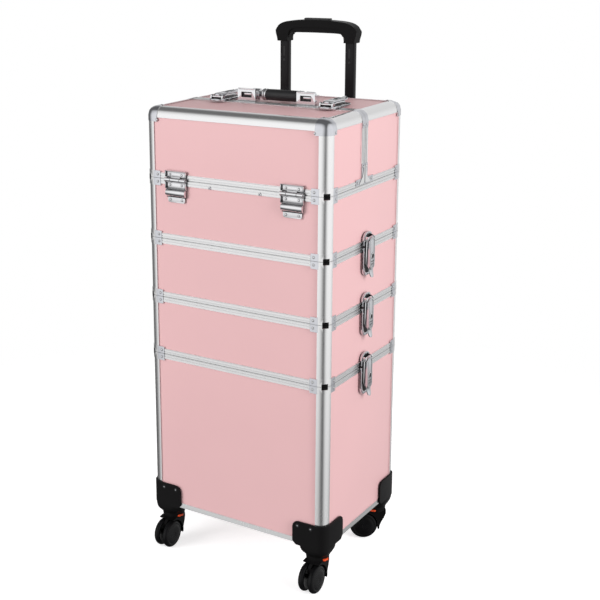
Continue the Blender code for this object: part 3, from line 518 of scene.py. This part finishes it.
for body in ORDER:
    low, high = SEAMS[body]
    beads = Shape("rim_beads_" + body, body, RIM_ALU)
    notch_blocks = Shape("corner_notch_blocks_" + body, body, BLACK)
    rivets = Shape("corner_rivets_" + body, body, CHROME)
    for seam, up in ((low, 1), (high, -1)):
        if seam is None:
            continue
        for side, (place, half) in FACES.items():
            bead_rows(beads, place, -half + 29.4, half - 29.4, seam, up)
            for u in (-half + 23.8, half - 23.8):
                at = place @ Vector((u, seam + up * 6.0, PLATE))
                rivets.rivet(at, place.to_3x3() @ Z)
        for sx in (-1, 1):
            for sy in (-1, 1):
                z0, z1 = sorted((seam + up * 0.35, seam + up * 4.3))
                notch_block(notch_blocks, sx, sy, z0, z1)
    beads.piece("alu")
    notch_blocks.piece("black")
    rivets.piece("chrome")

for body, s in (("lid_front", -1), ("lid_rear", 1)):
    beads = Shape("rim_beads_" + body, body, RIM_ALU)
    notch_blocks = Shape("corner_notch_blocks_" + body, body, BLACK)
    rivets = Shape("corner_rivets_" + body, body, CHROME)
    face = FRONT if s < 0 else BACK
    side_place, _ = FACES["front" if s < 0 else "back"]
    bead_rows(beads, side_place, -HALF_W + 29.4, HALF_W - 29.4, S1, 1)
    for u in (-HALF_W + 23.8, HALF_W - 23.8):
        rivets.rivet(side_place @ Vector((u, S1 + 6.0, PLATE)), side_place.to_3x3() @ Z)
        rivets.rivet(side_place @ Vector((u * 0.998, TOP - 20.6, PLATE)), side_place.to_3x3() @ Z)
    for sx, side in ((-1, "left"), (1, "right")):
        place, half = FACES[side]
        nrm = X * sx
        y_corner, y_split = face - s * 29.4, SPLIT_Y + s * 29.6
        us = sorted((place.inverted() @ Vector((sx * HALF_W, yy, 0))).x for yy in (y_corner, y_split))
        bead_rows(beads, place, us[0], us[1], S1, 1)
        strip = sorted((SPLIT_Y + s * 1.0, SPLIT_Y + s * 4.2)), sorted((SPLIT_Y + s * 5.2,
                                                                        SPLIT_Y + s * 9.2))
        for ya, yb in strip:
            prof = [(ya, 0.0), (ya + 0.4, 0.55), (yb - 0.4, 0.55), (yb, 0.0)]
            lift = local((sx * HALF_W, 0, 0), Y, Z, X * sx)
            beads.prism([(p, q) for p, q in prof], S1 + 35.0, TOP - 26.5, 0.0, 1, 0, lift, axis=1)
        rivets.rivet((sx * (HALF_W + PLATE), face - s * 23.8, S1 + 6.0), nrm)
        rivets.rivet((sx * (HALF_W + PLATE), face - s * 20.6, TOP - 20.6), nrm)
        rivets.rivet((sx * (HALF_W + PLATE), SPLIT_Y + s * 24.0, S1 + 6.2), nrm)
        rivets.rivet((sx * (HALF_W + PLATE), SPLIT_Y + s * 5.2, S1 + 29.0), nrm)
        rivets.rivet((sx * (HALF_W + PLATE), SPLIT_Y + s * 5.2, TOP - 21.5), nrm)
        rivets.rivet((sx * (HALF_W - 20.0), face - s * 20.6, TOP + PLATE), Z)
        notch_block(notch_blocks, sx, s, S1 + 0.35, S1 + 4.3)
        # pressed ribs of the T plate at the foot of the split
        tee = local((sx * (HALF_W + PLATE), SPLIT_Y, S1), Y * s, Z, X * sx)
        beads.prism([(1.2, 9.8), (1.2, 31.0), (2.4, 32.2), (4.0, 32.2), (4.0, 22.0), (8.0, 13.0),
                     (18.0, 4.4),
                     (18.0, 2.2), (6.0, 2.2), (1.2, 4.0)], 0.0, 0.5, 0.2, 1, 0, tee)
    beads.piece("alu")
    notch_blocks.piece("black")
    rivets.piece("chrome")

# cover of the parting line on top: a slim raised bead on each lid half
for body, s in (("lid_front", -1), ("lid_rear", 1)):
    strip = Shape("split_bead_" + body, body, RIM_ALU)
    for a, b in ((1.0, 4.2), (5.2, 9.2)):
        ya, yb = sorted((SPLIT_Y + s * a, SPLIT_Y + s * b))
        strip.prism([(ya, TOP), (ya + 0.4, TOP + 0.5), (yb - 0.4, TOP + 0.5), (yb, TOP)], -HALF_W + 19,
                    HALF_W - 19,
                    0.0, 1, 0, None, axis=0)
    strip.piece("alu")

# two cross-head screws in the lower rim of the front seam
rim_screws = Shape("rim_screws_front", "top_case", PLATED, DARK)
for x in (-44.0, 50.0):
    rim_screws.screw((x, FRONT - 0.5, S1 - 7.2), -Y, 2.7, 1.3, 0, 1)
rim_screws.piece("chrome")


# ---- box hinges ---------------------------------------------------------------------------------
def box_hinge(x, side, tag, replaces_base=(), replaces_leaf=(), upper="lid_front"):
    """Pressed box hinge: side -1 on the front, +1 on the back."""
    face = FRONT if side < 0 else BACK
    place = local((x, face, S1), X, Z, Y * side)
    ends = (-20.5, 20.5)
    base = Shape("hinge_base_" + tag, "top_case", CHROME, DARK, place=place)
    base.box((-20.5, -14.4, 0.4), (20.5, -4.0, 1.9), 0.35)
    for u in ends:
        a, b = (u, u + 1.4) if u < 0 else (u - 1.4, u)
        base.prism([(-15.6, 0.3), (-3.9, 0.3), (-2.6, 2.6), (-4.6, 4.6), (-13.4, 4.3), (-15.6, 3.0)], a, b,
                   0.3, 2,
                   0, axis=0)
        k0, k1 = sorted((u, u - 11.0 if u > 0 else u + 11.0))
        base.lathe([(0, 0), (2.9, 0), (3.3, 0.4), (3.3, k1 - k0 - 0.4), (2.9, k1 - k0), (0, k1 - k0)],
                   (k0, 0, 4.2), (1, 0, 0), 20)
        base.box((k0, -5.0, 0.4), (k1, -1.3, 3.4), 0.3)
        base.lathe([(0, 0), (1.5, 0), (1.5, 1.0), (0.9, 1.6), (0, 1.7)], (u, 0, 4.2),
                   (1 if u > 0 else -1, 0, 0), 14)
    base.box((-19.0, -15.7, 0.4), (19.0, -13.9, 3.6), 0.4)
    flap = [(-15.4, 1.0), (-15.6, 2.4), (-16.4, 4.3), (-18.0, 6.0), (-20.2, 6.9), (-22.6, 6.8),
            (-25.2, 5.6),
            (-27.4, 3.6), (-28.6, 1.6), (-28.6, 0.6), (-24.0, 0.4)]
    base.prism(flap, -18.8, 18.8, 0.35, 2, 0, axis=0)
    base.prism(rounded(-16.8, 16.8, -38.0, -26.0, 3.2), 0.35, 1.5, 0.3, 2)
    # dark strips (material 1): painted shade lines along the lower and upper edges of the flap
    base.box((-18.9, -29.4, 0.35), (18.9, -28.3, 1.9), 0.2, 1, 1)
    base.box((-18.9, -14.9, 3.4), (18.9, -14.2, 3.95), 0.15, 1, 1)
    for u in (-11.5, 11.5):
        base.rivet((u, -8.8, 1.9), Z, 1.9, 1.2)
        base.rivet((u, -33.4, 1.5), Z, 1.9, 1.2)
    base.piece("chrome", replaces=replaces_base)
    leaf = Shape("hinge_leaf_" + tag, upper, CHROME, DARK, place=place)
    leaf.box((-20.5, 4.0, 0.4), (20.5, 14.2, 1.9), 0.35)
    leaf.prism([(12.9, 0.4), (12.9, 2.4), (13.5, 3.8), (14.4, 4.0), (15.0, 3.2), (15.0, 0.4)], -20.5, 19.2,
               0.3, 2,
               0, axis=0)
    for u in ends:
        a, b = (u, u + 1.4) if u < 0 else (u - 1.4, u)
        leaf.prism([(4.3, 0.3), (15.0, 0.3), (15.0, 2.2), (13.2, 4.2), (6.0, 4.2), (4.3, 3.2)], a, b, 0.3,
                   2, 0,
                   axis=0)
    leaf.lathe([(0, 0), (2.9, 0), (3.3, 0.4), (3.3, 17.8), (2.9, 18.2), (0, 18.2)], (-9.1, 0, 4.2),
               (1, 0, 0), 20)
    leaf.box((-8.9, 1.3, 0.4), (8.9, 5.2, 3.4), 0.3)
    for u in (-11.5, 11.5):
        leaf.rivet((u, 8.4, 1.9), Z, 1.9, 1.2)
    leaf.piece("chrome", replaces=replaces_leaf)


HINGE_X = (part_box("front_hinge_base_right")[0].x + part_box("front_hinge_base_right")[1].x) / 2 / MM
for sx, tag in ((-1, "left"), (1, "right")):
    box_hinge(sx * HINGE_X, -1, "front_" + tag, ["front_hinge_base_" + tag], ["front_hinge_leaf_" + tag])
    box_hinge(sx * HINGE_X, 1, "rear_" + tag, upper="lid_rear")


# ---- keyed latches ------------------------------------------------------------------------------
W0 = GAP + PLATE


def latch(tag, place, upper, lower, lever_body):
    """Rims and rivets over the keeper and strike plates, and the whole lever."""
    lift = 2.6 if tag.startswith("top_") else 0.0    # room for the rear lid's small swing
    inner_top = shield(3.4, 20.0, 11.4, 9.0, 1.6)
    outer_top = shield(0.9, 23.0, 15.0, 12.0, 2.6)
    top = Shape("latch_trim_" + tag, upper, PLATED, DARK, place=place)
    top.ring(outer_top, inner_top, W0 + 0.4, W0 + 3.3, 0.5, 3)
    # dark inset (material 1): painted shade in the recess inside the rim
    top.prism(shield(2.6, 20.6, 12.0, 9.4, 1.6), W0 + 1.0, W0 + 2.35, 0.1, 1, 1)
    top.rivet((0, 20.9, W0 + 3.2), Z, 1.5, 0.9)
    for u in (-12.9, 12.9):
        top.rivet((u, 9.5, W0 + 3.2), Z, 1.4, 0.9)
    top.piece("chrome")
    inner_low = shield(-44.5, -3.2, 10.4, 1.6, 8.0)
    outer_low = shield(-49.0, -0.8, 15.0, 2.6, 12.0)
    low = Shape("latch_strike_" + tag, lower, PLATED, DARK, place=place)
    low.ring(outer_low, inner_low, W0 + 0.4, W0 + 3.3 - 0.2 * lift, 0.5, 3)
    # dark inset (material 1): painted shade in the recess inside the rim
    low.prism(shield(-45.2, -2.6, 11.0, 1.6, 8.4), W0 + 1.0, W0 + 2.35, 0.1, 1, 1)
    hook = W0 + 5.4 - 0.95 * lift
    low.prism([(-12.0, W0 + 2.0), (-12.0, hook - 0.4), (-10.4, hook), (-8.6, hook - 0.8), (-8.0, W0 + 2.0)],
              -6.5, 6.5, 0.2, 2, 0, axis=0)
    for u in (-12.7, 12.7):
        low.rivet((u, -9.5, W0 + 3.2 - 0.2 * lift), Z, 1.4, 0.9)
    low.rivet((0, -46.8, W0 + 3.2 - 0.2 * lift), Z, 1.4, 0.9)
    low.piece("chrome")
    lever = Shape("latch_arm_" + tag, lever_body, CHROME, DARK, PLATED, place=place)
    lever.prism(shield(-38.0, 15.4, 8.6, 7.4, 5.0), W0 + 6.2, W0 + 11.2, 1.5, 3, 2)
    lever.ring(shield(-36.5, 13.6, 6.9, 5.8, 4.0), shield(-35.3, 12.4, 5.7, 4.8, 3.2), W0 + 11.0, W0 + 11.7,
               0.2, 1)
    # dark bar (material 1): painted shade line across the lever
    lever.box((-6.4, -25.6, W0 + 11.0), (6.4, -24.4, W0 + 11.3), 0.0, 1, 1)
    lever.lathe([(0, 0), (4.9, 0), (5.1, 0.3), (5.1, 0.7), (4.5, 1.0), (3.7, 1.0), (3.5, 0.8), (0, 0.8)],
                (0, -16.0, W0 + 10.9), Z, 24)
    # dark disc (material 1): painted shade in the centre of the lock bezel
    lever.lathe([(0, 0), (3.7, 0), (3.7, 0.5), (0, 0.5)], (0, -16.0, W0 + 11.6), Z, 24, 1)
    rows = []
    for v, w, half, thick in ((-29.0, 9.4, 6.6, 2.6), (-34.0, 8.4, 6.6, 2.2), (-39.0, 8.1, 6.6, 1.9),
                              (-43.0, 8.6, 6.6, 1.7), (-46.5, 9.5, 6.2, 1.5), (-49.4, 10.5, 5.0, 1.4),
                              (-51.2, 11.2, 3.0, 1.2), (-51.9, 11.5, 1.2, 1.0)):
        w += W0
        rows.append([(-half, v, w), (-half * 0.9, v, w + thick * 0.8), (-half * 0.5, v, w + thick),
                     (half * 0.5, v, w + thick), (half * 0.9, v, w + thick * 0.8), (half, v, w),
                     (half * 0.6, v, w - 0.3), (-half * 0.6, v, w - 0.3)])
    lever.loft(rows, 2)
    for u in (-10.1, 10.1):
        lever.tube([(u * 0.92, 13.0, 7.2), (u, 10.0, 7.0 + 0.4 * lift), (u, 0.0, 6.6 + lift),
                    (u, -14.0, 6.2 + lift),
                    (u, -27.0, 5.7 + lift), (u * 0.86, -30.0, 5.6 + lift)], 0.95, 10, 0)
    lever.tube([(-8.7, -30.0, 5.6 + lift), (0, -31.0, 5.6 + lift), (8.7, -30.0, 5.6 + lift)], 0.95, 10, 0)
    lever.lathe([(0, 0), (2.3, 0), (2.6, 0.3), (2.6, 20.1), (2.3, 20.4), (0, 20.4)], (-10.2, 13.0, 7.2), X,
                18)
    lever.piece("chrome", replaces=["latch_lever_" + tag])


for sx, side in ((-1, "left"), (1, "right")):
    for seam, level, up_body, low_body in ((S4, "low", "lower_tier", "bottom_case"),
                                           (S3, "mid", "upper_tier", "lower_tier"),
                                           (S2, "high", "top_case", "upper_tier")):
        latch(side + "_" + level, local((sx * HALF_W, MID_Y, seam), Y, Z, X * sx), up_body, low_body,
              "latch_%s_%s" % (side, level))
    lo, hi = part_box("latch_hinge_top_" + side)
    latch("top_" + side, local(((lo.x + hi.x) / 2 / MM, SPLIT_Y, TOP), X, -Y, Z), "lid_front", "lid_rear",
          "latch_top_" + side)

# ---- carry handle -------------------------------------------------------------------------------
b_lo, b_hi = lo_hi("carry_handle_buckle_left")
c_lo, c_hi = lo_hi("carry_handle_buckle_right")
SHIFT = (b_lo.x + c_hi.x) / 2
HANDLE_X = (c_lo.x + c_hi.x) / 2 - SHIFT
HANDLE_Y, HANDLE_Z = MID_Y + 2.0, TOP + 9.0
GRIP_Y, GRIP_Z = MID_Y + 19.5, TOP + 10.4
grip = Shape("carry_grip", "carry_handle", GRIP, CHROME)
prof = [(0, -30.4), (8.6, -30.4), (9.0, -29.4)] + [(9.1 + 0.35 * cos(radians(x / 28.0 * 80)), x)
                                                     for x in range(-26, 27, 4)] + [(9.0, 29.4),
                                                                                    (8.6, 30.4), (0, 30.4)]
grip.lathe(prof, (SHIFT, GRIP_Y, GRIP_Z), X, 40, 0)
for sx in (-1, 1):
    collar = [(0, 29.8), (8.8, 29.8), (9.6, 30.3), (9.8, 31.8), (9.2, 32.6), (8.7, 33.1), (8.7, 33.7),
              (9.3, 34.2),
              (9.8, 35.2), (9.6, 36.8), (8.4, 38.0), (6.0, 39.2), (4.6, 40.8), (4.0, 44.5), (0, 44.5)]
    grip.lathe(collar, (SHIFT, GRIP_Y, GRIP_Z), X * sx, 36, 1)
    hook = [(HANDLE_Y + a, HANDLE_Z + b) for a, b in (
        (-2.6, -3.4), (-3.8, 0.0), (-2.4, 3.0), (3.0, 3.0), (8.0, 3.6), (11.5, 6.6), (15.0, 9.8),
                                                      (20.0, 10.2),
        (24.6, 7.0), (26.0, 1.0), (23.8, -4.6), (18.0, -6.6), (10.0, -4.7), (4.0, -4.0))]
    grip.prism(spline(hook, 5), *sorted((SHIFT + sx * 44.0, SHIFT + sx * 58.0)), 1.5, 3, 1, axis=0)
    grip.lathe([(0, -12.0), (2.0, -12.0), (2.0, 12.0), (0, 12.0)],
               (SHIFT + sx * HANDLE_X, HANDLE_Y, HANDLE_Z), X, 16,
               1)
grip.piece("black", replaces=["carry_handle_grip"])
for sx, tag in ((-1, "left"), (1, "right")):
    x = SHIFT + sx * HANDLE_X
    y0 = SPLIT_Y + GAP + 4.0
    tab = Shape("buckle_tab_" + tag, "lid_rear", CHROME, DARK)
    # dark plate (material 1): painted shade in the opening of the buckle
    tab.box((x - 11.6, y0 + 2.4, TOP + 4.2), (x + 11.6, y0 + 3.1, TOP + 16.8), 0.1, 1, 1)
    tab.box((x - 5.0, y0 + 0.9, TOP + 11.0), (x + 9.0, y0 + 2.6, TOP + 14.2), 0.5, 2, 0)
    tab.box((x - 15.2, y0 - 0.5, TOP + 20.0), (x + 15.2, y0 + 3.0, TOP + 21.9), 0.6, 2, 0)
    for u in (-12.6, 12.6):
        tab.rivet((x + u, y0 + 9.5, TOP + 3.8), Z, 1.5, 0.9)
    tab.piece("chrome")

# ---- trolley handle -----------------------------------------------------------------------------
GY = (lo_hi("trolley_grip")[0].y + lo_hi("trolley_grip")[1].y) / 2
GRIP_TOP = lo_hi("trolley_release_button")[1].z
ROD_X = 63.5
SLEEVE_Z = GRIP_TOP - 40.0


def mirror(points):
    return points + [(-x, z) for x, z in reversed(points) if abs(x) > 1e-6]


def smooth_line(points, n=5):
    """Open Catmull-Rom curve through points."""
    pts = [Vector(points[0])] + [Vector(p) for p in points] + [Vector(points[-1])]
    out = []
    for i in range(1, len(pts) - 2):
        p0, p1, p2, p3 = pts[i - 1:i + 3]
        for s in range(n):
            t = s / n
            q = 0.5 * (2 * p1 + (p2 - p0) * t + (2 * p0 - 5 * p1 + 4 * p2 - p3) * t * t
                       + (3 * p1 - p0 - 3 * p2 + p3) * t ** 3)
            out.append((q.x, q.y))
    return out + [points[-1]]


t = GRIP_TOP
bow = Shape("trolley_grip_shell", "trolley_handle", BLACK)
top_line = smooth_line([(0, t - 3.0), (25, t - 3.3), (45, t - 4.5), (58, t - 6.4), (67, t - 9.4),
                        (73.6, t - 13.8)])
side_line = smooth_line([(78.4, t - 20.5), (77.6, t - 27), (75.4, t - 34), (74.5, SLEEVE_Z)], 4)
inner_line = smooth_line([(54.5, SLEEVE_Z), (54.3, t - 32.5), (51.0, t - 22.0), (44, t - 17.8),
                          (25, t - 15.6),
                          (0, t - 15.0)], 5)
outer = top_line + side_line + inner_line
bow.prism(mirror(outer)[::-1], -10.3, 10.3, 3.2, 4, 0, Matrix.Translation((0, GY, 0)), axis=1)
lip_line = smooth_line([(54.0, t - 34.0), (51.0, t - 27.2), (44, t - 24.9), (20, t - 24.3), (0, t - 24.2)],
                       5)
lip_top = smooth_line([(0, t - 13.5), (25, t - 14.0), (44, t - 16.0), (53, t - 21.5), (57.0, t - 34.0)], 5)
bow.prism(mirror(lip_top + lip_line)[::-1], -8.0, 8.0, 2.2, 3, 0, Matrix.Translation((0, GY, 0)), axis=1)
bow.piece("black", replaces=["trolley_grip"])
for sx, tag in ((-1, "left"), (1, "right")):
    slots = Shape("rod_slots_painted_shade_" + tag, "trolley_handle", DARK, TUBE)
    front = GY - 5.6
    # dark stadium and disc: painted shade standing in for the slot and the round hole below it
    slots.prism(rounded(sx * ROD_X - 1.7, sx * ROD_X + 1.7, SLEEVE_Z - 26, SLEEVE_Z - 9, 1.6), -front - 0.1,
                -front + 0.25,
                0.1, 1, 0, local((0, 0, 0), X, Z, -Y))
    slots.lathe([(0, 0), (2.4, 0), (2.4, 0.2), (1.6, 0.5), (0, 0.5)], (sx * ROD_X, front, SLEEVE_Z - 33.0),
                -Y, 16, 0)
    slots.piece("tube")

# ---- casters ------------------------------------------------------------------------------------
CASTERS = {"front_left": (-1, -1), "front_right": (1, -1), "rear_left": (-1, 1), "rear_right": (1, 1)}
COLLAR_Z = BASE_Z - 25.0
for tag, (sx, sy) in CASTERS.items():
    swivel = HINGES["caster_%s_swivel" % tag]
    hub = HINGES["caster_%s_roll" % tag]
    b_lo, b_hi = lo_hi("corner_bracket_" + tag)
    screws = Shape("bracket_screws_" + tag, "bottom_case", DARK, PLATED)
    face_y = b_lo.y if sy < 0 else b_hi.y
    inner_x = b_lo.x if sx > 0 else b_hi.x
    for d in (9.5, 34.0):
        at = (inner_x + sx * d, face_y, b_hi.z - 7.6)
        screws.lathe([(0, -0.3), (3.4, -0.3), (3.4, 0.15), (2.9, 0.4), (0, 0.4)], at, Y * sy, 20, 0)
        screws.lathe([(0, 0.3), (1.2, 0.3), (1.1, 0.6), (0.7, 0.85), (0, 0.9)], at, Y * sy, 16, 1)
    screws.piece("black")
    trail = (hub - swivel)
    trail.z = 0
    trail.normalize()
    side = Matrix.Rotation(radians(72), 3, "Z") @ trail
    across = Z.cross(side)
    tab = Shape("caster_tab_" + tag, "caster_" + tag, ORANGE,
                place=local((swivel.x, swivel.y, COLLAR_Z), across, Z, side))
    tab.prism([(-5.4, 16.0), (-5.4, 20.2), (-3.6, 21.8), (3.6, 21.8), (5.4, 20.2), (5.4, 16.0)], -1.9, 1.1,
              0.5, 2,
              axis=1)
    tab.piece("black")
    axle = Z.cross(trail)
    wheels = Shape("wheel_pair_" + tag, "wheels_" + tag, WHEEL, BLACK)
    R, HALF, THICK = 24.5, 15.0, 11.2
    for su in (-1, 1):
        inner = HALF - THICK
        prof = [(0, inner + 1.6), (15.0, inner + 1.6), (18.0, inner + 0.5), (20.5, inner),
                (22.6, inner + 0.8),
                (23.9, inner + 2.4), (R, inner + 4.4), (R - 0.2, inner + 6.2), (R - 1.0, inner + 8.0),
                (R - 2.4, inner + 9.4), (R - 4.2, inner + 10.3), (R - 5.6, inner + 10.5),
                (R - 6.2, inner + 10.1),
                (R - 6.9, inner + 10.1), (R - 7.8, inner + 10.6), (12.5, inner + 11.0), (7.0, inner + 11.2),
                (3.6, inner + 11.2), (3.2, inner + 10.8), (0, inner + 10.8)]
        wheels.lathe(prof, hub, axle * su, 56)
    wheels.lathe([(0, -5), (3.0, -5), (3.0, 5), (0, 5)], hub, axle, 20, 1)
    wheels.piece("rubber", replaces=["caster_wheels_" + tag])

# ---- floor, sky and lights ------------------------------------------------------------------
floor_bm = bmesh.new()
bmesh.ops.create_circle(floor_bm, cap_ends=True, segments=96, radius=1.3)
floor_mesh = bpy.data.meshes.new("floor")
floor_bm.to_mesh(floor_mesh)
floor_bm.free()
floor = bpy.data.objects.new("floor", floor_mesh)
floor.location = (0, 0, -0.0004)
scene.collection.objects.link(floor)
floor.visible_diffuse = floor.visible_glossy = floor.visible_shadow = False
floor_mat = bpy.data.materials.new("floor_white")
floor_mat.use_nodes = True
fn = Nodes(floor_mat.node_tree)
out = floor_mat.node_tree.nodes["Material Output"]
fb = floor_mat.node_tree.nodes["Principled BSDF"]
fb.inputs["Base Color"].default_value = (0.86, 0.86, 0.865, 1)
fb.inputs["Roughness"].default_value = 0.7
fb.inputs["Specular IOR Level"].default_value = 0.25
fb.inputs["Emission Color"].default_value = (1, 1, 1, 1)
fb.inputs["Emission Strength"].default_value = 0.62
dist = fn.add("ShaderNodeVectorMath", {"operation": "LENGTH"},
              i0=fn.add("ShaderNodeTexCoord").outputs["Object"]).outputs["Value"]
fade = fn.add("ShaderNodeMapRange", {"interpolation_type": "SMOOTHSTEP"}, Value=dist)
fade.inputs["From Min"].default_value = 0.55
fade.inputs["From Max"].default_value = 1.15
mix = fn.add("ShaderNodeMixShader", Fac=fade.outputs["Result"])
floor_mat.node_tree.links.new(fb.outputs[0], mix.inputs[1])
floor_mat.node_tree.links.new(fn.add("ShaderNodeBsdfTransparent").outputs[0], mix.inputs[2])
floor_mat.node_tree.links.new(mix.outputs[0], out.inputs["Surface"])
floor_mesh.materials.append(floor_mat)

world = bpy.data.worlds.new("studio")
scene.world = world
world.use_nodes = True
wn = Nodes(world.node_tree)
bg = world.node_tree.nodes["Background"]
direction = wn.add("ShaderNodeTexCoord").outputs["Generated"]


def lobe(axis, start, end, strength):
    """Soft patch of studio light around a direction: start and end are cosines."""
    d = wn.add("ShaderNodeVectorMath", {"operation": "DOT_PRODUCT"}, i0=direction,
               i1=Vector(axis).normalized()[:]).outputs["Value"]
    m = wn.add("ShaderNodeMapRange", {"interpolation_type": "SMOOTHSTEP"}, Value=d)
    m.inputs["From Min"].default_value = start
    m.inputs["From Max"].default_value = end
    return wn.math("MULTIPLY", m.outputs["Result"], strength)


sky = wn.math("ADD", lobe((-0.373, -0.924, 0.087), 0.47, 0.95, 0.84), 0.15)
sky = wn.math("ADD", sky, lobe((0.985, 0.17, 0.0), 0.47, 0.94, 0.84))
sky = wn.math("ADD", sky, lobe((-0.12, 0.99, 0.087), 0.50, 0.94, 0.60))
low = wn.add("ShaderNodeMapRange", {"interpolation_type": "SMOOTHSTEP"},
             Value=wn.add("ShaderNodeSeparateXYZ", Vector=direction).outputs["Z"])
for key, value in (("From Min", -0.55), ("From Max", -0.22), ("To Min", 0.60), ("To Max", 1.0)):
    low.inputs[key].default_value = value
sky = wn.math("MULTIPLY", sky, low.outputs["Result"])
seen = wn.add("ShaderNodeLightPath").outputs["Is Camera Ray"]
final = wn.add("ShaderNodeMix", {"data_type": "FLOAT"}, i0=seen, i2=sky, i3=1.0).outputs[0]
wn.put(bg, "Color", wn.add("ShaderNodeCombineColor", Red=final, Green=final, Blue=final).outputs[0])
bg.inputs["Strength"].default_value = 1.0


def area(name, place, target, size, power, color=(1, 1, 1)):
    data = bpy.data.lights.new(name, "AREA")
    data.shape = "RECTANGLE"
    data.size, data.size_y = size
    data.energy = power
    data.color = color
    obj = bpy.data.objects.new(name, data)
    scene.collection.objects.link(obj)
    obj.location = place
    obj.rotation_euler = (Vector(target) - Vector(place)).to_track_quat("-Z", "Y").to_euler()
    obj.visible_glossy = False
    obj.visible_camera = False
    return obj


area("key_front_left", (-1.4, -2.4, 1.25), (0, 0, 0.45), (1.5, 1.5), 46)
area("fill_right", (2.4, -0.3, 1.3), (0.1, 0, 0.4), (1.4, 1.4), 42)
area("back_top", (0.2, 1.9, 2.2), (0, 0, 0.75), (1.6, 1.0), 8)
